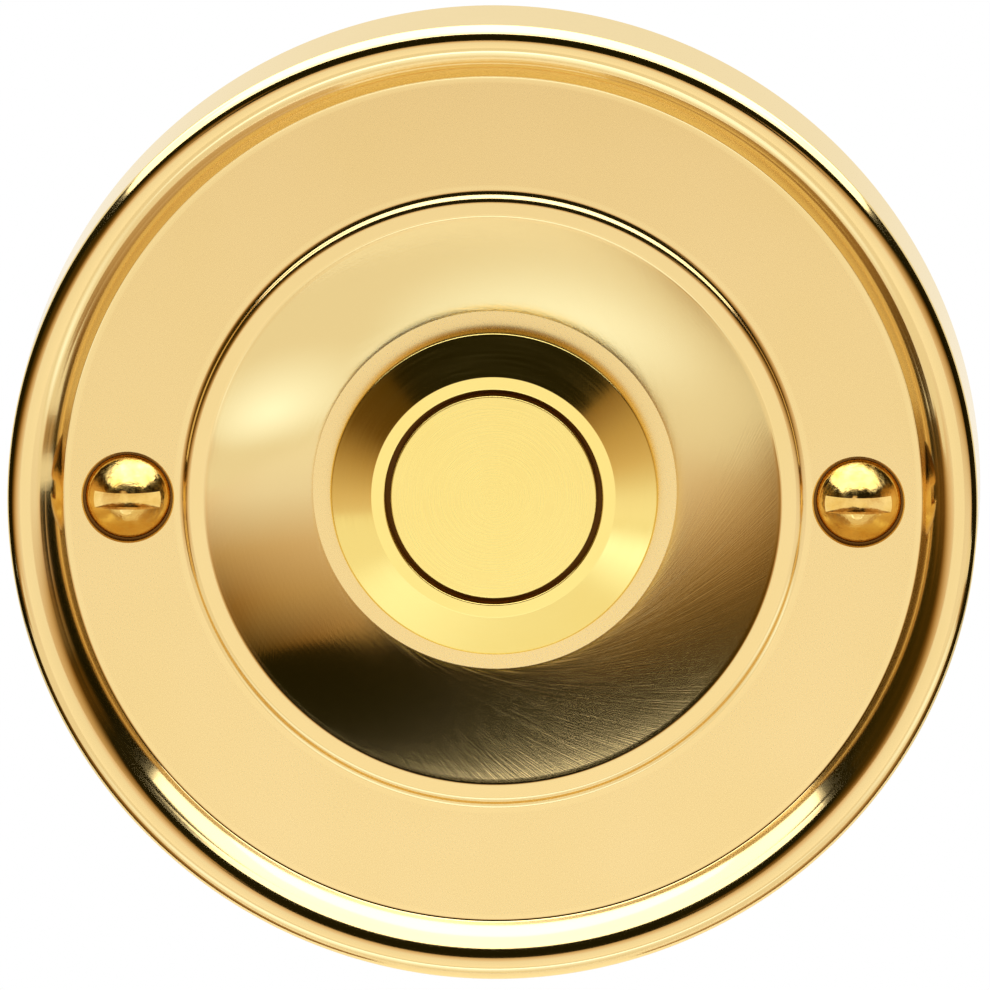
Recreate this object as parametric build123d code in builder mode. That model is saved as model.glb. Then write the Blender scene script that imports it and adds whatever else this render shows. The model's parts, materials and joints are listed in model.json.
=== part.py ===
from build123d import *
import math
import os

# A round brass bell push for a door frame or a wall, in millimetres.
# The wall is the XZ plane, the front of the push faces -Y, and +Z is up.
# Heights are measured from the wall towards the front, so what is behind the wall has a negative height.

# Rose plate
plate_diameter = 76.2
rim_height = 10.0
bead_outer_round = 1.2
bead_inner_round = 2.25
rim_slope = 40.0  # degrees from the axis, the bevel inside the bead
rim_wall = 3.0
rim_cove = 0.35
face_height = 7.45
face_width = 9.26
lip_height = 0.45
lip_width = 1.75
bowl_depth = 4.5
bowl_round = 0.5
seat_margin = 1.4  # flat ring left showing round the ferrule
plate_wall = 2.1
back_fillet = 0.8

# Fixing screws, slotted round-head wood screws
fixing_inset = 5.01  # from the edge of the face to the screw's axis
fixing_head_diameter = 6.7
fixing_head_height = 2.5
fixing_shank_diameter = 3.5
fixing_thread_diameter = 2.9  # mean of crest and root
fixing_neck = 4.0
fixing_length = 25.4
fixing_point = 5.0
fixing_tip_diameter = 0.3
fixing_slot_width = 1.3
fixing_slot_depth = 1.2
fixing_clearance = 0.25
recess_depth = 0.6
recess_clearance = 0.2
recess_chamfer = 0.1

# Push button
button_diameter = 16.2
button_gap = 0.45
button_edge = 0.15
button_travel = 1.5
collar_step = 0.8
collar_thickness = 1.4
collar_clearance = 0.1
stem_diameter = 4.0
stem_length = 2.6

# Ferrule
bezel_ring = 1.05
bezel_depth = 1.7
bevel_run = 3.3
bevel_rise = 1.5
flange_edge = 1.55
ferrule_edge = 0.15
flange_round = 0.3
barrel_wall = 1.5
barrel_tail = 1.1
barrel_chamfer = 0.5
thread_relief = 0.6
relief_width = 1.2
hole_clearance = 0.2

# Nut and washer behind the plate
nut_wall = 2.5
nut_height = 3.5
nut_bevel = 30.0  # degrees
thread_clearance = 0.05
tooth_washer_thickness = 0.8
tooth_washer_ring = 1.5
tooth_clearance = 0.15
tooth_width = 2.0
tooth_count = 12

# Return spring
spring_wire = 0.7
spring_turns = 4
spring_diameter = 12.4
spring_reserve = 0.6
spring_clearance = 0.05

# Plunger and guide disc
plunger_width = 7.0
plunger_thickness = 5.2
plunger_clearance = 0.1
socket_clearance = 0.02
spigot_width = 3.6
spigot_thickness = 2.2
spigot_tail = 0.5
spigot_clearance = 0.05
guide_step = 0.5
guide_thickness = 1.2

# Moving contact
bridge_lift = 0.5
bridge_thickness = 0.6
bridge_width = 4.6
bridge_end = 1.7
bridge_clip_diameter = 5.0
bridge_clip_thickness = 0.5
clip_slit = 0.35
rivet_diameter = 2.4
rivet_dome = 0.5
rivet_shank_diameter = 1.5
rivet_clench_diameter = 2.1
rivet_clench = 0.25
contact_margin = 0.05

# Terminal base and its retaining ring
base_clearance = 0.05
base_wall = 1.65
base_shelf = 1.6
boss_clearance = 0.3
terminal_stand = 2.0
barrier_thickness = 1.6
barrier_height = 3.0
barrier_inset = 1.0
ring_thickness = 0.9
ring_groove = 0.6
ring_reach = 1.1
ring_gap = 30.0  # degrees
ring_eye_diameter = 0.8
ring_eye_turn = 8.0  # degrees from the ring's end to its eye

# Fixed contacts and terminals
strip_thickness = 0.8
strip_width = 3.6
strip_bend = 0.7
strip_clearance = 0.05
contact_inset = 3.0
contact_reach = 1.7
web_cover = 0.7
terminal_inset = 1.9
terminal_reach = 2.4
terminal_head_diameter = 4.6
terminal_head_height = 1.6
terminal_thread_diameter = 2.9
terminal_clearance = 0.05
terminal_floor = 0.9
terminal_slot_width = 0.7
terminal_slot_depth = 0.8
terminal_washer_diameter = 4.8
terminal_washer_thickness = 0.5

# Heights of the plate and the ferrule
lip_top = face_height + lip_height
seat_height = lip_top - bowl_depth
seat_back = seat_height - plate_wall
face_back = face_height - plate_wall
bead_level = rim_height - bead_outer_round
fixing_seat = face_height - recess_depth
bevel_foot = seat_height + flange_edge
bezel_top = bevel_foot + bevel_rise
shoulder = bezel_top - bezel_depth

# Heights of the mechanism, from the button back to the terminals
button_back = shoulder - collar_thickness
spring_length = (spring_turns + 1) * spring_wire + button_travel + spring_reserve
guide_front = button_back - spring_length
guide_back = guide_front - guide_thickness
bridge_front = guide_back - bridge_lift
bridge_back = bridge_front - bridge_thickness
contact_front = bridge_back - rivet_dome - button_travel - contact_margin
contact_back = contact_front - strip_thickness
ring_front = contact_back - base_shelf
ring_back = ring_front - ring_thickness
barrel_end = ring_back - barrel_tail
base_back = barrel_end - terminal_stand
tab_back = base_back - strip_thickness
terminal_seat = tab_back - terminal_washer_thickness
terminal_tip = contact_back - terminal_floor
washer_back = seat_back - tooth_washer_thickness
nut_back = washer_back - nut_height

# Radii of the button and the ferrule, from the middle outwards
button_radius = button_diameter / 2
bore_radius = button_radius + button_gap
bezel_radius = bore_radius + bezel_ring
flange_radius = bezel_radius + bevel_run
seat_radius = flange_radius + seat_margin
collar_radius = button_radius + collar_step
chamber_radius = collar_radius + collar_clearance
rear_radius = chamber_radius + guide_step
barrel_radius = rear_radius + barrel_wall
hole_radius = barrel_radius + hole_clearance
nut_flat_radius = barrel_radius + nut_wall

# Radii of the base, its ring and the contacts
base_radius = rear_radius - base_clearance
cavity_radius = base_radius - base_wall
ring_outer_radius = rear_radius + ring_groove
ring_inner_radius = rear_radius - ring_reach
boss_radius = ring_inner_radius - boss_clearance
contact_radius = cavity_radius - contact_inset
web_outer = cavity_radius - web_cover
web_inner = web_outer - strip_thickness
terminal_radius = web_inner - terminal_inset

# Radii of the plate, from the rim inwards
plate_radius = plate_diameter / 2
crest_radius = plate_radius - bead_outer_round
rim_inner_radius = plate_radius - rim_wall
slope = math.radians(rim_slope)
bead_foot_radius = crest_radius - bead_inner_round * math.cos(slope)
bead_foot_level = rim_height - bead_inner_round * (1 - math.sin(slope))
face_radius = bead_foot_radius - (bead_foot_level - face_height) * math.tan(slope)
lip_radius = face_radius - face_width
bowl_radius = lip_radius - lip_width
fixing_radius = face_radius - fixing_inset
fixing_head_radius = fixing_head_diameter / 2
recess_radius = fixing_head_radius + recess_clearance

# The bowl is part of a sphere through the lip's edge and the seat's edge, centred on the axis
bowl_centre = (bowl_radius**2 + lip_top**2 - seat_radius**2 - seat_height**2) / (2 * bowl_depth)
bowl_sphere = math.hypot(seat_radius, bowl_centre - seat_height)
bowl_back_sphere = bowl_sphere + plate_wall

SIDES = {"left": -1, "right": 1}

os.makedirs("parts", exist_ok=True)


def level(height):
    """A plane parallel to the wall at this height, facing the front."""
    return Plane.XZ.offset(height)


def section(x=0):
    """The cutting plane through an axis at this x, with the radius across and the height upwards."""
    return Plane(origin=(x, 0, 0), x_dir=(1, 0, 0), z_dir=(0, 0, -1))


def turning_axis(x=0):
    """The axis at this x, square to the wall."""
    return Axis((x, 0, 0), (0, 1, 0))


def corner(sketch, point):
    """The corner of a sketch nearest to this point."""
    return sketch.vertices().sort_by_distance(point)[0]


def on_sphere(sphere, radius):
    """The point of the bowl's section, or of its back, at this radius."""
    return (radius, bowl_centre - math.sqrt(sphere**2 - radius**2))


def sphere_radius(sphere, height):
    """The radius at which the bowl, or its back, passes this height."""
    return math.sqrt(sphere**2 - (bowl_centre - height) ** 2)


# Rose plate: bead rim, sunk face, low lip, dished bowl and a flat seat, hollow behind
bead_crest = (crest_radius, rim_height)
bead_foot = (bead_foot_radius, bead_foot_level)
face_edge = (face_radius, face_height)
lip_foot = (lip_radius, face_height)
lip_shoulder = (lip_radius - lip_height, lip_top)
bowl_edge = (bowl_radius, lip_top)
seat_edge = (seat_radius, seat_height)
bowl_back_foot = (sphere_radius(bowl_back_sphere, seat_back), seat_back)
bowl_back_top = (sphere_radius(bowl_back_sphere, face_back), face_back)
rim_corner = (rim_inner_radius, face_back)
lip_blend = 1.6 * lip_height
with BuildPart() as rose_plate:
    with BuildSketch(section()) as plate_section:
        with BuildLine():
            Line((plate_radius, 0), (plate_radius, bead_level))
            TangentArc((plate_radius, bead_level), bead_crest, tangent=(0, 1))
            TangentArc(bead_crest, bead_foot, tangent=(-1, 0))
            Polyline(bead_foot, face_edge, lip_foot, lip_shoulder, bowl_edge)
            bowl_middle = on_sphere(bowl_sphere, (bowl_radius + seat_radius) / 2)
            ThreePointArc(bowl_edge, bowl_middle, seat_edge)
            Polyline(seat_edge, (hole_radius, seat_height), (hole_radius, seat_back), bowl_back_foot)
            back_middle = on_sphere(bowl_back_sphere, (bowl_back_foot[0] + bowl_back_top[0]) / 2)
            ThreePointArc(bowl_back_foot, back_middle, bowl_back_top)
            Polyline(bowl_back_top, rim_corner, (rim_inner_radius, 0), (plate_radius, 0))
        make_face()
        fillet(corner(plate_section, face_edge), rim_cove)
        fillet(corner(plate_section, lip_foot), lip_blend)
        fillet(corner(plate_section, lip_shoulder), lip_blend)
        fillet(corner(plate_section, bowl_edge), bowl_round)
        fillet(corner(plate_section, rim_corner), back_fillet)
    revolve(axis=turning_axis())
    with Locations(level(face_height)):
        with Locations((-fixing_radius, 0), (fixing_radius, 0)):
            CounterBoreHole(
                radius=fixing_shank_diameter / 2 + fixing_clearance,
                counter_bore_radius=recess_radius,
                counter_bore_depth=recess_depth,
                depth=plate_wall,
            )
    recess_mouths = (
        rose_plate.edges()
        .filter_by(GeomType.CIRCLE)
        .filter_by(lambda edge: edge.is_closed and abs(edge.arc_center.X) > fixing_radius / 2)
        .group_by(Axis.Y)[0]
    )
    chamfer(recess_mouths, recess_chamfer)
rose_plate.part.label = "rose_plate"
export_step(rose_plate.part, "parts/rose_plate.step")

# Ferrule: bevelled flange, flat top ring and a threaded barrel that houses the mechanism
relief_radius = barrel_radius - thread_relief
with BuildPart() as ferrule:
    with BuildSketch(section()) as ferrule_section:
        with BuildLine():
            Polyline(
                (bore_radius, bezel_top),
                (bezel_radius, bezel_top),
                (flange_radius, bevel_foot),
                (flange_radius, seat_height),
                (relief_radius, seat_height),
                (relief_radius, seat_height - relief_width),
                (barrel_radius, seat_height - relief_width),
                (barrel_radius, barrel_end),
                (rear_radius, barrel_end),
                (rear_radius, ring_back),
                (ring_outer_radius, ring_back),
                (ring_outer_radius, ring_front),
                (rear_radius, ring_front),
                (rear_radius, guide_front),
                (chamber_radius, guide_front),
                (chamber_radius, shoulder),
                (bore_radius, shoulder),
                close=True,
            )
        make_face()
        fillet(corner(ferrule_section, (bore_radius, bezel_top)), ferrule_edge)
        fillet(corner(ferrule_section, (bezel_radius, bezel_top)), ferrule_edge)
        fillet(corner(ferrule_section, (flange_radius, bevel_foot)), flange_round)
        chamfer(corner(ferrule_section, (barrel_radius, barrel_end)), barrel_chamfer)
    revolve(axis=turning_axis())
ferrule.part.label = "ferrule"
export_step(ferrule.part, "parts/ferrule.step")

# Push button: flush cap, a collar trapped behind the ferrule's shoulder, and a stem
with BuildPart() as push_button:
    with BuildSketch(section()) as button_section:
        with BuildLine():
            Polyline(
                (0, bezel_top),
                (button_radius, bezel_top),
                (button_radius, shoulder),
                (collar_radius, shoulder),
                (collar_radius, button_back),
                (stem_diameter / 2, button_back),
                (stem_diameter / 2, button_back - stem_length),
                (0, button_back - stem_length),
                close=True,
            )
        make_face()
        fillet(corner(button_section, (button_radius, bezel_top)), button_edge)
    revolve(axis=turning_axis())
push_button.part.label = "push_button"
export_step(push_button.part, "parts/push_button.step")

# Plunger: insulating moulding on the button's stem, with a spigot for the bridge
spigot_length = bridge_thickness + bridge_clip_thickness + spigot_tail
with BuildPart() as plunger:
    with BuildSketch(level(button_back)):
        SlotOverall(plunger_width, plunger_thickness)
    extrude(amount=bridge_front - button_back)
    with BuildSketch(level(bridge_front)):
        SlotOverall(spigot_width, spigot_thickness)
    extrude(amount=-spigot_length)
    with BuildSketch(level(button_back)):
        Circle(stem_diameter / 2 + socket_clearance)
    extrude(amount=-stem_length, mode=Mode.SUBTRACT)
plunger.part.label = "plunger"
export_step(plunger.part, "parts/plunger.step")

# Return spring between the button and the guide disc
spring_start = -button_back + spring_wire / 2 + spring_clearance
spring_rise = spring_length - spring_wire - 2 * spring_clearance
with BuildPart() as return_spring:
    with BuildLine() as coil:
        Helix(
            pitch=spring_rise / spring_turns,
            height=spring_rise,
            radius=spring_diameter / 2,
            center=(0, spring_start, 0),
            direction=(0, 1, 0),
        )
    with BuildSketch(Plane(origin=coil.line @ 0, z_dir=coil.line % 0)):
        Circle(spring_wire / 2)
    sweep(path=coil.line, is_frenet=True)
return_spring.part.label = "return_spring"
export_step(return_spring.part, "parts/return_spring.step")

# Guide disc: seats the spring and keeps the plunger from turning
with BuildPart() as guide_disc:
    with BuildSketch(level(guide_front)):
        Circle(base_radius)
        SlotOverall(
            plunger_width + 2 * plunger_clearance,
            plunger_thickness + 2 * plunger_clearance,
            mode=Mode.SUBTRACT,
        )
    extrude(amount=-guide_thickness)
guide_disc.part.label = "guide_disc"
export_step(guide_disc.part, "parts/guide_disc.step")

# Contact bridge: strip that joins the two fixed contacts when the button is pressed
with BuildPart() as contact_bridge:
    with BuildSketch(level(bridge_front)):
        SlotOverall(2 * (contact_radius + bridge_end), bridge_width)
        SlotOverall(
            spigot_width + 2 * spigot_clearance,
            spigot_thickness + 2 * spigot_clearance,
            mode=Mode.SUBTRACT,
        )
        with Locations((-contact_radius, 0), (contact_radius, 0)):
            Circle(rivet_shank_diameter / 2, mode=Mode.SUBTRACT)
    extrude(amount=-bridge_thickness)
contact_bridge.part.label = "contact_bridge"
export_step(contact_bridge.part, "parts/contact_bridge.step")

# Bridge clip: push-on washer with slits that grips the spigot
with BuildPart() as bridge_clip:
    with BuildSketch(level(bridge_back)):
        Circle(bridge_clip_diameter / 2)
        SlotOverall(
            spigot_width + 2 * spigot_clearance,
            spigot_thickness + 2 * spigot_clearance,
            mode=Mode.SUBTRACT,
        )
        slit_reach = (spigot_thickness + bridge_clip_diameter) / 2
        Rectangle(clip_slit, slit_reach, mode=Mode.SUBTRACT)
    extrude(amount=-bridge_clip_thickness)
bridge_clip.part.label = "bridge_clip"
export_step(bridge_clip.part, "parts/bridge_clip.step")

# Contact rivets: domed contact points clenched in the bridge
for side, sign in SIDES.items():
    rivet_x = sign * contact_radius
    rivet_radius = rivet_diameter / 2
    dome_sphere = (rivet_radius**2 + rivet_dome**2) / (2 * rivet_dome)
    dome_middle = dome_sphere - math.sqrt(dome_sphere**2 - rivet_radius**2 / 4)
    with BuildPart() as contact_rivet:
        with BuildSketch(section(rivet_x)):
            with BuildLine():
                Polyline(
                    (0, bridge_back - rivet_dome),
                    (0, bridge_front + rivet_clench),
                    (rivet_clench_diameter / 2, bridge_front + rivet_clench),
                    (rivet_clench_diameter / 2, bridge_front),
                    (rivet_shank_diameter / 2, bridge_front),
                    (rivet_shank_diameter / 2, bridge_back),
                    (rivet_radius, bridge_back),
                )
                ThreePointArc(
                    (rivet_radius, bridge_back),
                    (rivet_radius / 2, bridge_back - rivet_dome + dome_middle),
                    (0, bridge_back - rivet_dome),
                )
            make_face()
        revolve(axis=turning_axis(rivet_x))
    contact_rivet.part.label = f"contact_rivet_{side}"
    export_step(contact_rivet.part, f"parts/contact_rivet_{side}.step")

# Terminal base: cup for the bridge, a boss behind the barrel and a barrier between the terminals
with BuildPart() as terminal_base:
    with BuildSketch(level(guide_back)):
        Circle(base_radius)
    extrude(amount=ring_front - guide_back)
    with BuildSketch(level(ring_front)):
        Circle(boss_radius)
    extrude(amount=base_back - ring_front)
    with BuildSketch(level(base_back)):
        Rectangle(barrier_thickness, 2 * (boss_radius - barrier_inset))
    extrude(amount=-barrier_height)
    with BuildSketch(level(guide_back)):
        Circle(cavity_radius)
    extrude(amount=contact_back - guide_back, mode=Mode.SUBTRACT)
    with BuildSketch(level(base_back)):
        with Locations((-(web_outer + web_inner) / 2, 0), ((web_outer + web_inner) / 2, 0)):
            Rectangle(strip_thickness + 2 * strip_clearance, strip_width + 2 * strip_clearance)
    extrude(amount=contact_back - base_back, mode=Mode.SUBTRACT)
    with BuildSketch(level(base_back)):
        with Locations((-terminal_radius, 0), (terminal_radius, 0)):
            Circle(terminal_thread_diameter / 2 + terminal_clearance)
    extrude(amount=terminal_tip - base_back, mode=Mode.SUBTRACT)
terminal_base.part.label = "terminal_base"
export_step(terminal_base.part, "parts/terminal_base.step")

# Retaining ring in the barrel's groove, with a gap below and an eye at each end
ring_play = base_clearance
ring_middle_radius = (ring_outer_radius + ring_inner_radius) / 2
with BuildPart() as base_circlip:
    with BuildSketch(level(ring_front)):
        Circle(ring_outer_radius - ring_play)
        Circle(ring_inner_radius, mode=Mode.SUBTRACT)
        with BuildLine(mode=Mode.PRIVATE) as gap_wedge:
            half_gap = math.radians(ring_gap / 2)
            wedge_reach = 2 * ring_outer_radius
            wedge_x = wedge_reach * math.sin(half_gap)
            wedge_y = -wedge_reach * math.cos(half_gap)
            Polyline((0, 0), (-wedge_x, wedge_y), (wedge_x, wedge_y), close=True)
        make_face(gap_wedge.edges(), mode=Mode.SUBTRACT)
        eye_turn = ring_gap / 2 + ring_eye_turn
        with PolarLocations(ring_middle_radius, 2, start_angle=-90 - eye_turn, angular_range=4 * eye_turn):
            Circle(ring_eye_diameter / 2, mode=Mode.SUBTRACT)
    extrude(amount=-ring_thickness)
base_circlip.part.label = "base_circlip"
export_step(base_circlip.part, "parts/base_circlip.step")

# Fixed contacts: bent strips, a contact pad inside the base and a terminal tab outside it
for side, sign in SIDES.items():
    with BuildPart() as fixed_contact:
        with BuildSketch(section()) as strip_section:
            with BuildLine():
                Polyline(
                    (sign * (contact_radius - contact_reach), contact_front),
                    (sign * web_outer, contact_front),
                    (sign * web_outer, tab_back),
                    (sign * (terminal_radius - terminal_reach), tab_back),
                    (sign * (terminal_radius - terminal_reach), base_back),
                    (sign * web_inner, base_back),
                    (sign * web_inner, contact_back),
                    (sign * (contact_radius - contact_reach), contact_back),
                    close=True,
                )
            make_face()
            fillet(corner(strip_section, (sign * web_outer, contact_front)), strip_bend)
            fillet(corner(strip_section, (sign * web_outer, tab_back)), strip_bend)
        extrude(amount=strip_width / 2, both=True)
        with BuildSketch(level(tab_back)):
            with Locations((sign * terminal_radius, 0)):
                Circle(terminal_thread_diameter / 2 + terminal_clearance)
        extrude(amount=strip_thickness, mode=Mode.SUBTRACT)
    fixed_contact.part.label = f"fixed_contact_{side}"
    export_step(fixed_contact.part, f"parts/fixed_contact_{side}.step")

# Terminal washers, which clamp the wires on the tabs
for side, sign in SIDES.items():
    with BuildPart() as terminal_washer:
        with BuildSketch(level(tab_back)):
            with Locations((sign * terminal_radius, 0)):
                Circle(terminal_washer_diameter / 2)
                Circle(terminal_thread_diameter / 2 + terminal_clearance, mode=Mode.SUBTRACT)
        extrude(amount=-terminal_washer_thickness)
    terminal_washer.part.label = f"terminal_washer_{side}"
    export_step(terminal_washer.part, f"parts/terminal_washer_{side}.step")

# Terminal screws, slotted cheese heads that face the back
terminal_head_back = terminal_seat - terminal_head_height
for side, sign in SIDES.items():
    with BuildPart() as terminal_screw:
        with BuildSketch(level(terminal_seat)):
            with Locations((sign * terminal_radius, 0)):
                Circle(terminal_head_diameter / 2)
        extrude(amount=-terminal_head_height)
        fillet(terminal_screw.edges().group_by(Axis.Y)[-1], terminal_slot_width / 2)
        with BuildSketch(level(terminal_seat)):
            with Locations((sign * terminal_radius, 0)):
                Circle(terminal_thread_diameter / 2)
        extrude(amount=terminal_tip - terminal_seat)
        with BuildSketch(level(terminal_head_back)):
            with Locations((sign * terminal_radius, 0)):
                Rectangle(terminal_slot_width, terminal_head_diameter)
        extrude(amount=terminal_slot_depth, mode=Mode.SUBTRACT)
    terminal_screw.part.label = f"terminal_screw_{side}"
    export_step(terminal_screw.part, f"parts/terminal_screw_{side}.step")

# Tooth washer between the plate and the nut
tooth_root_radius = nut_flat_radius - tooth_washer_ring
tooth_tip_radius = barrel_radius + tooth_clearance
with BuildPart() as lock_washer:
    with BuildSketch(level(seat_back)):
        Circle(nut_flat_radius)
        Circle(tooth_root_radius, mode=Mode.SUBTRACT)
        with PolarLocations((nut_flat_radius + tooth_tip_radius) / 2, tooth_count):
            Rectangle(nut_flat_radius - tooth_tip_radius, tooth_width)
        Circle(nut_flat_radius, mode=Mode.INTERSECT)
        Circle(tooth_tip_radius, mode=Mode.SUBTRACT)
    extrude(amount=-tooth_washer_thickness)
lock_washer.part.label = "lock_washer"
export_step(lock_washer.part, "parts/lock_washer.step")

# Lock nut: thin hexagon with bevelled corners
nut_corner_radius = nut_flat_radius / math.cos(math.radians(30))
corner_drop = (nut_corner_radius - nut_flat_radius) * math.tan(math.radians(nut_bevel))
with BuildPart() as lock_nut:
    with BuildSketch(level(washer_back)):
        RegularPolygon(nut_flat_radius, 6, major_radius=False)
        Circle(barrel_radius + thread_clearance, mode=Mode.SUBTRACT)
    extrude(amount=-nut_height)
    with BuildSketch(section()):
        with BuildLine():
            Polyline(
                (0, washer_back),
                (nut_flat_radius, washer_back),
                (nut_corner_radius, washer_back - corner_drop),
                (nut_corner_radius, nut_back + corner_drop),
                (nut_flat_radius, nut_back),
                (0, nut_back),
                close=True,
            )
        make_face()
    revolve(axis=turning_axis(), mode=Mode.INTERSECT)
lock_nut.part.label = "lock_nut"
export_step(lock_nut.part, "parts/lock_nut.step")

# Fixing screws: round slotted heads that sit in the plate's recesses, with a point for wood
head_sphere = (fixing_head_radius**2 + fixing_head_height**2) / (2 * fixing_head_height)
head_centre = fixing_seat + fixing_head_height - head_sphere
head_middle = head_centre + math.sqrt(head_sphere**2 - fixing_head_radius**2 / 4)
shank_radius = fixing_shank_diameter / 2
thread_radius = fixing_thread_diameter / 2
thread_end = fixing_seat - fixing_length + fixing_point
for side, sign in SIDES.items():
    screw_x = sign * fixing_radius
    with BuildPart() as fixing_screw:
        with BuildSketch(section(screw_x)):
            with BuildLine():
                ThreePointArc(
                    (0, fixing_seat + fixing_head_height),
                    (fixing_head_radius / 2, head_middle),
                    (fixing_head_radius, fixing_seat),
                )
                Polyline(
                    (fixing_head_radius, fixing_seat),
                    (shank_radius, fixing_seat),
                    (shank_radius, fixing_seat - fixing_neck),
                    (thread_radius, fixing_seat - fixing_neck),
                    (thread_radius, thread_end),
                    (fixing_tip_diameter / 2, thread_end - fixing_point),
                    (0, thread_end - fixing_point),
                    (0, fixing_seat + fixing_head_height),
                )
            make_face()
        revolve(axis=turning_axis(screw_x))
        with BuildSketch(level(fixing_seat + fixing_head_height)):
            with Locations((screw_x, 0)):
                Rectangle(fixing_head_diameter, fixing_slot_width)
        extrude(amount=-fixing_slot_depth, mode=Mode.SUBTRACT)
    fixing_screw.part.label = f"fixing_screw_{side}"
    export_step(fixing_screw.part, f"parts/fixing_screw_{side}.step")
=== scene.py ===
import json
import math

import bmesh
import bpy
from mathutils import Matrix, Vector


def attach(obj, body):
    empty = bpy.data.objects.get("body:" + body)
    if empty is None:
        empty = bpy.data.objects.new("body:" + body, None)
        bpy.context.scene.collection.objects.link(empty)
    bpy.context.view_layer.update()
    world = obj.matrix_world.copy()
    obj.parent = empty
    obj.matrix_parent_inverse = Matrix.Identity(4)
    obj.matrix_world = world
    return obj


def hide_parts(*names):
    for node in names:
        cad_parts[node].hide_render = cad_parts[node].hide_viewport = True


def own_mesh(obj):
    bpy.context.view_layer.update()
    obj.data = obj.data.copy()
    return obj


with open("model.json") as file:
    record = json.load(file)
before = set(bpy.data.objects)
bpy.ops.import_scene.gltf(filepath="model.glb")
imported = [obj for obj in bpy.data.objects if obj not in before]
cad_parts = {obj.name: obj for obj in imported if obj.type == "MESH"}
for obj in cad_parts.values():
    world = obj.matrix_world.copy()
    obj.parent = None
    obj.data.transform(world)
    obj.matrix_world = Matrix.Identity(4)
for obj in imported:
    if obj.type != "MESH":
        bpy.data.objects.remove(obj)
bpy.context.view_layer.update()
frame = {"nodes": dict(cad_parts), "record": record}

# A round brass bell push. Sizes are in millimetres, as in the solid model, and become metres in the meshes.
# Heights are measured from the wall towards the front, which faces -Y.
MM = 0.001
TINY = 1e-6

# Rose plate
PLATE_RADIUS = 38.1
RIM_HEIGHT = 10.0
BEAD_OUTER_ROUND = 1.2
BEAD_INNER_ROUND = 2.25
RIM_SLOPE = math.radians(40.0)
RIM_INNER_RADIUS = 35.1
RIM_COVE = 0.35
FACE_HEIGHT = 7.45
FACE_RADIUS = 33.711
LIP_RADIUS = 24.451
LIP_HEIGHT = 0.45
LIP_BLEND = 0.72
BOWL_RADIUS = 22.701
BOWL_ROUND = 0.5
SEAT_HEIGHT = 3.4
SEAT_RADIUS = 14.3
PLATE_HOLE_RADIUS = 11.2
PLATE_WALL = 2.1
BACK_FILLET = 0.8

# Fixing screws and their recesses
FIXING_X = 28.701
RECESS_RADIUS = 3.55
RECESS_DEPTH = 0.6
RECESS_CHAMFER = 0.1
RECESS_MARGIN = 1.0  # how far the recess's cutter stands out of the face
FIXING_HOLE_RADIUS = 2.0
FIXING_SEAT = FACE_HEIGHT - RECESS_DEPTH
FIXING_LENGTH = 25.4
FIXING_NECK = 4.0  # plain stretch under the head
FIXING_POINT = 5.0  # stretch that tapers to the tip
FIXING_NECK_END = FIXING_SEAT - FIXING_NECK
FIXING_TIP = FIXING_SEAT - FIXING_LENGTH
FIXING_THREAD_END = FIXING_TIP + FIXING_POINT
FIXING_HEAD_RADIUS = 3.35
FIXING_HEAD_HEIGHT = 2.5
FIXING_SHANK_RADIUS = 1.75
FIXING_TIP_RADIUS = 0.15
FIXING_ROOT_RADIUS = 1.2
FIXING_CREST_RADIUS = 1.7
FIXING_PITCH = 1.4
FIXING_RIDGE = 0.3  # half of the ridge's share of the pitch
FIXING_SLOT_WIDTH = 1.3
FIXING_SLOT_DEPTH = 1.2
DENT_ROUND = 1.4
DENTS = ((-0.35, 0.75, 0.06), (-0.05, -0.8, 0.1))  # driver marks on the slot's edges: across, up, depth

# Ferrule and push button
BORE_RADIUS = 8.55
BEZEL_RADIUS = 9.6
BEZEL_TOP = 6.45
FLANGE_RADIUS = 12.9
BEVEL_FOOT = 4.95
FERRULE_EDGE = 0.15
FLANGE_ROUND = 0.3
RELIEF_RADIUS = 10.4
RELIEF_END = 2.2
BARREL_RADIUS = 11.0
BARREL_END = -11.0
BARREL_CHAMFER = 0.5
BARREL_PITCH = 1.0
BARREL_THREAD_DEPTH = 0.5
REAR_RADIUS = 9.5
RING_GROOVE_RADIUS = 10.1
RING_FRONT = -9.0
RING_BACK = -9.9
GUIDE_FRONT = -2.25
CHAMBER_RADIUS = 9.0
SHOULDER = 4.75
BUTTON_RADIUS = 8.1
BUTTON_EDGE = 0.15
COLLAR_RADIUS = 8.9
BUTTON_BACK = 3.35
STEM_RADIUS = 2.0
STEM_END = 0.75

# Return spring
SPRING_WIRE = 0.7
SPRING_RADIUS = 6.2
SPRING_TURNS = 4
SPRING_CLEARANCE = 0.05

# Fineness of the turned meshes
TURN_SEGMENTS = 288
FERRULE_SEGMENTS = 192
SMALL_SEGMENTS = 96
FLOOR_SEGMENTS = 96
DENT_FINENESS = 4
BARREL_ROWS = 8  # rings of points to a turn of the thread
FIXING_ROWS = 12
SPRING_STEPS = 48  # for each turn of the wire
WIRE_SIDES = 12
ARC_STEP = math.radians(3.0)
BOWL_STEP = ARC_STEP / 5
BACK_STEP = ARC_STEP / 3
HOLD = 0.03  # distance of the loops that keep flats flat beside a rounded edge
SHARP_ANGLE = math.radians(28.0)
FORWARD_AXIS = Vector((0.0, 1.0, 0.0))

# Photograph and camera
PHOTO_SIDE = 990
PHOTO_SCALE = 12.74  # pixels for a millimetre at the face
FRAME_SHIFT = (2.0, 4.75)  # pixels from the face's middle to the picture's middle, right and up
VIEW_AZIMUTH = math.radians(2.0)
VIEW_ELEVATION = math.radians(10.8)
VIEW_DISTANCE = 2500.0
SENSOR = 36.0

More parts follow.
